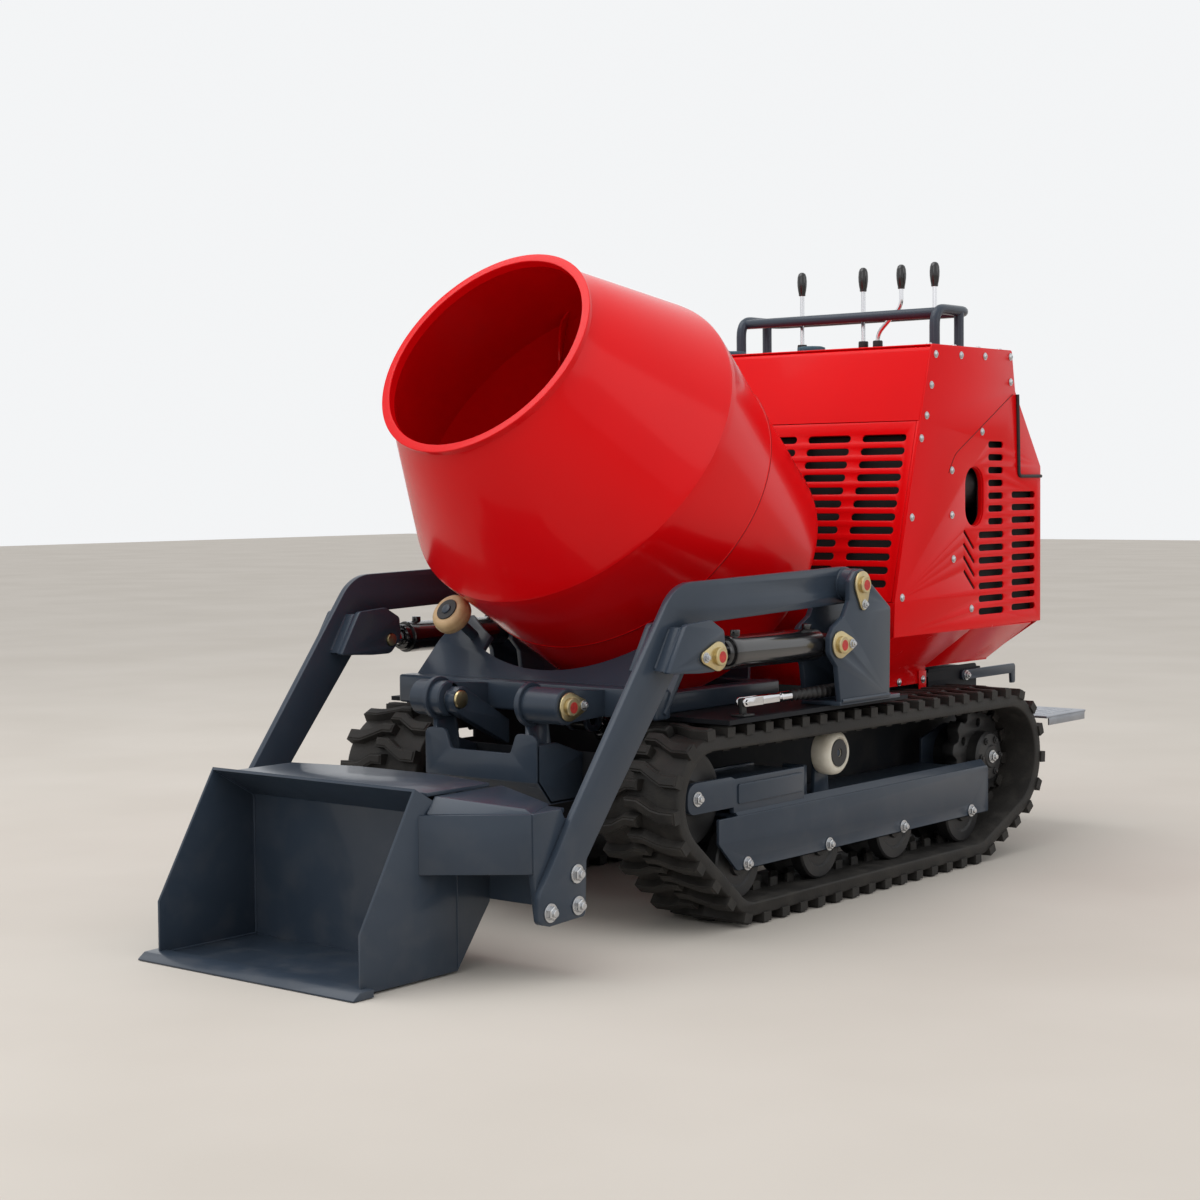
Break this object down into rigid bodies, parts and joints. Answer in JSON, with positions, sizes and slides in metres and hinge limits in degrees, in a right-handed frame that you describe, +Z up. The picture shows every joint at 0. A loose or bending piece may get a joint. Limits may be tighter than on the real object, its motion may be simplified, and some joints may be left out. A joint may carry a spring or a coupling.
{
  "type": "tracked concrete mixer",
  "caption": "Tracked self-loading mini concrete mixer with a tilting drum, a front loader bucket, a boxed engine and an operator platform.",
  "frame": {"origin": "on the ground, under the middle of the machine's bounding box", "axes": "+Z up, +Y to the rear where the operator stands, the bucket points to -Y, +X is the side shown in the picture"},
  "size_m": [1.066, 2.7, 1.53],
  "materials": {
    "anthracite_paint": "anthracite paint",
    "black_gloss": "gloss black",
    "black_rubber": "moulded rubber",
    "cast_steel": "dark cast steel",
    "checker_plate": "raised checker pattern",
    "chrome": "bright chrome",
    "engine_alloy": "cast alloy",
    "gold_zinc": "yellow zinc plate",
    "knob_plastic": "gloss black",
    "nylon": "worn nylon",
    "red_paint": "gloss red paint",
    "tank_plastic": "satin grey",
    "teal_cap": "satin plastic"
  },
  "bodies": {
    "machine": {"chassis_frame": "anthracite_paint", "front_bracket": "anthracite_paint", "tower_left": "anthracite_paint", "tower_right": "anthracite_paint", "arm_pivot_pin_left": "gold_zinc", "arm_pivot_pin_right": "gold_zinc", "track_frame_left": "anthracite_paint", "track_frame_right": "anthracite_paint", "track_belt_left": "black_rubber", "track_belt_right": "black_rubber", "travel_motor_left": "cast_steel", "travel_motor_right": "cast_steel", "cover_side_left": "red_paint", "cover_side_right": "red_paint", "cover_front": "red_paint", "cover_rear": "red_paint", "cover_top": "red_paint", "engine": "engine_alloy", "muffler": "cast_steel", "hydraulic_tank": "tank_plastic", "guard_rail": "anthracite_paint"},
    "loader": {"loader_arm_left": "anthracite_paint", "loader_arm_right": "anthracite_paint", "bucket_carrier": "anthracite_paint", "bucket": "anthracite_paint"},
    "cradle": {"drum_cradle": "anthracite_paint", "hinge_pin": "gold_zinc", "drum_gear_motor": "cast_steel"},
    "mixing_drum": {"drum": "red_paint"},
    "lift_barrel_left": {"lift_barrel_left": "black_gloss"},
    "lift_rod_left": {"lift_rod_left": "chrome"},
    "lift_barrel_right": {"lift_barrel_right": "black_gloss"},
    "lift_rod_right": {"lift_rod_right": "chrome"},
    "tilt_barrel": {"tilt_barrel": "black_gloss"},
    "tilt_rod": {"tilt_rod": "chrome"},
    "support_roller_left": {"support_roller_left": "nylon"},
    "support_roller_right": {"support_roller_right": "nylon"},
    "sprocket_left": {"sprocket_left": "cast_steel"},
    "idler_yoke_left": {"idler_yoke_left": "anthracite_paint"},
    "idler_left": {"idler_left": "cast_steel"},
    "carrier_roller_left": {"carrier_roller_left": "nylon"},
    "track_roller_left_1": {"track_roller_left_1": "cast_steel"},
    "track_roller_left_2": {"track_roller_left_2": "cast_steel"},
    "track_roller_left_3": {"track_roller_left_3": "cast_steel"},
    "track_roller_left_4": {"track_roller_left_4": "cast_steel"},
    "sprocket_right": {"sprocket_right": "cast_steel"},
    "idler_yoke_right": {"idler_yoke_right": "anthracite_paint"},
    "idler_right": {"idler_right": "cast_steel"},
    "carrier_roller_right": {"carrier_roller_right": "nylon"},
    "track_roller_right_1": {"track_roller_right_1": "cast_steel"},
    "track_roller_right_2": {"track_roller_right_2": "cast_steel"},
    "track_roller_right_3": {"track_roller_right_3": "cast_steel"},
    "track_roller_right_4": {"track_roller_right_4": "cast_steel"},
    "lever_travel_left": {"lever_travel_left": "knob_plastic"},
    "lever_travel_right": {"lever_travel_right": "knob_plastic"},
    "lever_drum": {"lever_drum": "knob_plastic"},
    "lever_loader": {"lever_loader": "knob_plastic"},
    "platform": {"platform": "checker_plate"},
    "latch_hook": {"latch_hook": "anthracite_paint"},
    "fuel_cap": {"fuel_cap": "teal_cap"}
  },
  "joints": [
    {"name": "loader_lift", "type": "hinge", "parent": "machine", "child": "loader", "pos_m": [0, 0.058, 0.725], "axis": [-1, 0, 0], "range_deg": [0, 85]},
    {"name": "lift_barrel_left_turn", "type": "hinge", "parent": "machine", "child": "lift_barrel_left", "pos_m": [-0.472, -0.034, 0.594], "axis": [-1, 0, 0], "range_deg": [0, 82.51]},
    {"name": "lift_rod_left_slide", "type": "slide", "parent": "lift_barrel_left", "child": "lift_rod_left", "axis": [0, -1, 0.0086], "range_m": [0, 0.2154]},
    {"name": "lift_barrel_right_turn", "type": "hinge", "parent": "machine", "child": "lift_barrel_right", "pos_m": [0.472, -0.034, 0.594], "axis": [-1, 0, 0], "range_deg": [0, 82.51]},
    {"name": "lift_rod_right_slide", "type": "slide", "parent": "lift_barrel_right", "child": "lift_rod_right", "axis": [0, -1, 0.0086], "range_m": [0, 0.2154]},
    {"name": "cradle_tilt", "type": "hinge", "parent": "machine", "child": "cradle", "pos_m": [0, -0.64, 0.488], "axis": [1, 0, 0], "range_deg": [0, 55]},
    {"name": "tilt_barrel_turn", "type": "hinge", "parent": "machine", "child": "tilt_barrel", "pos_m": [0, 0.15, 0.25], "axis": [1, 0, 0], "range_deg": [-20.85, 0]},
    {"name": "tilt_rod_slide", "type": "slide", "parent": "tilt_barrel", "child": "tilt_rod", "axis": [0, -0.9355, 0.3534], "range_m": [0, 0.2398]},
    {"name": "drum_spin", "type": "hinge", "parent": "cradle", "child": "mixing_drum", "pos_m": [0, -0.628, 1.248], "axis": [0, 0.8141, -0.5807], "continuous": true},
    {"name": "support_roller_left_spin", "type": "hinge", "parent": "cradle", "child": "support_roller_left", "pos_m": [-0.25068, -0.46953, 0.6608], "axis": [0, 0.8141, -0.5807], "continuous": true},
    {"name": "support_roller_right_spin", "type": "hinge", "parent": "cradle", "child": "support_roller_right", "pos_m": [0.31057, -0.32384, 0.63601], "axis": [0, 0.8141, -0.5807], "continuous": true},
    {"name": "sprocket_left_spin", "type": "hinge", "parent": "machine", "child": "sprocket_left", "pos_m": [-0.375, 0.825, 0.25], "axis": [1, 0, 0], "continuous": true},
    {"name": "idler_yoke_left_slide", "type": "slide", "parent": "machine", "child": "idler_yoke_left", "axis": [0, 1, 0], "range_m": [0, 0.02], "stiffness_N_per_m": 40000},
    {"name": "idler_left_spin", "type": "hinge", "parent": "idler_yoke_left", "child": "idler_left", "pos_m": [-0.375, -0.45, 0.287], "axis": [1, 0, 0], "continuous": true},
    {"name": "track_roller_left_1_spin", "type": "hinge", "parent": "machine", "child": "track_roller_left_1", "pos_m": [-0.375, -0.302, 0.1313], "axis": [1, 0, 0], "continuous": true},
    {"name": "track_roller_left_2_spin", "type": "hinge", "parent": "machine", "child": "track_roller_left_2", "pos_m": [-0.375, 0.021, 0.1313], "axis": [1, 0, 0], "continuous": true},
    {"name": "track_roller_left_3_spin", "type": "hinge", "parent": "machine", "child": "track_roller_left_3", "pos_m": [-0.375, 0.344, 0.1313], "axis": [1, 0, 0], "continuous": true},
    {"name": "track_roller_left_4_spin", "type": "hinge", "parent": "machine", "child": "track_roller_left_4", "pos_m": [-0.375, 0.667, 0.1313], "axis": [1, 0, 0], "continuous": true},
    {"name": "carrier_roller_left_spin", "type": "hinge", "parent": "machine", "child": "carrier_roller_left", "pos_m": [-0.427, 0.079, 0.33422], "axis": [1, 0, 0], "continuous": true},
    {"name": "sprocket_right_spin", "type": "hinge", "parent": "machine", "child": "sprocket_right", "pos_m": [0.375, 0.825, 0.25], "axis": [1, 0, 0], "continuous": true},
    {"name": "idler_yoke_right_slide", "type": "slide", "parent": "machine", "child": "idler_yoke_right", "axis": [0, 1, 0], "range_m": [0, 0.02], "stiffness_N_per_m": 40000},
    {"name": "idler_right_spin", "type": "hinge", "parent": "idler_yoke_right", "child": "idler_right", "pos_m": [0.375, -0.45, 0.287], "axis": [1, 0, 0], "continuous": true},
    {"name": "track_roller_right_1_spin", "type": "hinge", "parent": "machine", "child": "track_roller_right_1", "pos_m": [0.375, -0.302, 0.1313], "axis": [1, 0, 0], "continuous": true},
    {"name": "track_roller_right_2_spin", "type": "hinge", "parent": "machine", "child": "track_roller_right_2", "pos_m": [0.375, 0.021, 0.1313], "axis": [1, 0, 0], "continuous": true},
    {"name": "track_roller_right_3_spin", "type": "hinge", "parent": "machine", "child": "track_roller_right_3", "pos_m": [0.375, 0.344, 0.1313], "axis": [1, 0, 0], "continuous": true},
    {"name": "track_roller_right_4_spin", "type": "hinge", "parent": "machine", "child": "track_roller_right_4", "pos_m": [0.375, 0.667, 0.1313], "axis": [1, 0, 0], "continuous": true},
    {"name": "carrier_roller_right_spin", "type": "hinge", "parent": "machine", "child": "carrier_roller_right", "pos_m": [0.427, 0.079, 0.33422], "axis": [1, 0, 0], "continuous": true},
    {"name": "lever_travel_left_swing", "type": "hinge", "parent": "machine", "child": "lever_travel_left", "pos_m": [-0.166, 0.85, 1.3078], "axis": [1, 0, 0], "range_deg": [-18, 18], "stiffness_Nm_per_rad": 3},
    {"name": "lever_travel_right_swing", "type": "hinge", "parent": "machine", "child": "lever_travel_right", "pos_m": [0.03, 0.85, 1.3078], "axis": [1, 0, 0], "range_deg": [-18, 18], "stiffness_Nm_per_rad": 3},
    {"name": "lever_drum_swing", "type": "hinge", "parent": "machine", "child": "lever_drum", "pos_m": [0.075, 0.85, 1.3078], "axis": [1, 0, 0], "range_deg": [-18, 18], "stiffness_Nm_per_rad": 3},
    {"name": "lever_loader_swing", "type": "hinge", "parent": "machine", "child": "lever_loader", "pos_m": [0.249, 0.85, 1.3078], "axis": [1, 0, 0], "range_deg": [-18, 18], "stiffness_Nm_per_rad": 3},
    {"name": "platform_fold", "type": "hinge", "parent": "machine", "child": "platform", "pos_m": [0, 1.105, 0.325], "axis": [1, 0, 0], "range_deg": [0, 85]},
    {"name": "latch_hook_swing", "type": "hinge", "parent": "machine", "child": "latch_hook", "pos_m": [0.293, 0.922, 0.447], "axis": [1, 0, 0], "range_deg": [0, 8]},
    {"name": "fuel_cap_turn", "type": "hinge", "parent": "machine", "child": "fuel_cap", "pos_m": [0.03, 0.6, 1.2953], "axis": [0, 0, 1], "range_deg": [0, 90]}
  ],
  "couplings": [
    {"joint": "lift_barrel_left_turn", "follows": "loader_lift", "ratio": 0.97042},
    {"joint": "lift_rod_left_slide", "follows": "loader_lift", "m_per_rad": 0.14485},
    {"joint": "lift_barrel_right_turn", "follows": "loader_lift", "ratio": 0.97042},
    {"joint": "lift_rod_right_slide", "follows": "loader_lift", "m_per_rad": 0.14485},
    {"joint": "tilt_barrel_turn", "follows": "cradle_tilt", "ratio": -0.37869},
    {"joint": "tilt_rod_slide", "follows": "cradle_tilt", "m_per_rad": 0.24925},
    {"joint": "support_roller_left_spin", "follows": "drum_spin", "ratio": -8.6356},
    {"joint": "support_roller_right_spin", "follows": "drum_spin", "ratio": -8.3578},
    {"joint": "idler_left_spin", "follows": "sprocket_left_spin", "ratio": 1.2381},
    {"joint": "track_roller_left_1_spin", "follows": "sprocket_left_spin", "ratio": 1.6049},
    {"joint": "track_roller_left_2_spin", "follows": "sprocket_left_spin", "ratio": 1.6049},
    {"joint": "track_roller_left_3_spin", "follows": "sprocket_left_spin", "ratio": 1.6049},
    {"joint": "track_roller_left_4_spin", "follows": "sprocket_left_spin", "ratio": 1.6049},
    {"joint": "carrier_roller_left_spin", "follows": "sprocket_left_spin", "ratio": 2.5},
    {"joint": "idler_right_spin", "follows": "sprocket_right_spin", "ratio": 1.2381},
    {"joint": "track_roller_right_1_spin", "follows": "sprocket_right_spin", "ratio": 1.6049},
    {"joint": "track_roller_right_2_spin", "follows": "sprocket_right_spin", "ratio": 1.6049},
    {"joint": "track_roller_right_3_spin", "follows": "sprocket_right_spin", "ratio": 1.6049},
    {"joint": "track_roller_right_4_spin", "follows": "sprocket_right_spin", "ratio": 1.6049},
    {"joint": "carrier_roller_right_spin", "follows": "sprocket_right_spin", "ratio": 2.5}
  ]
}
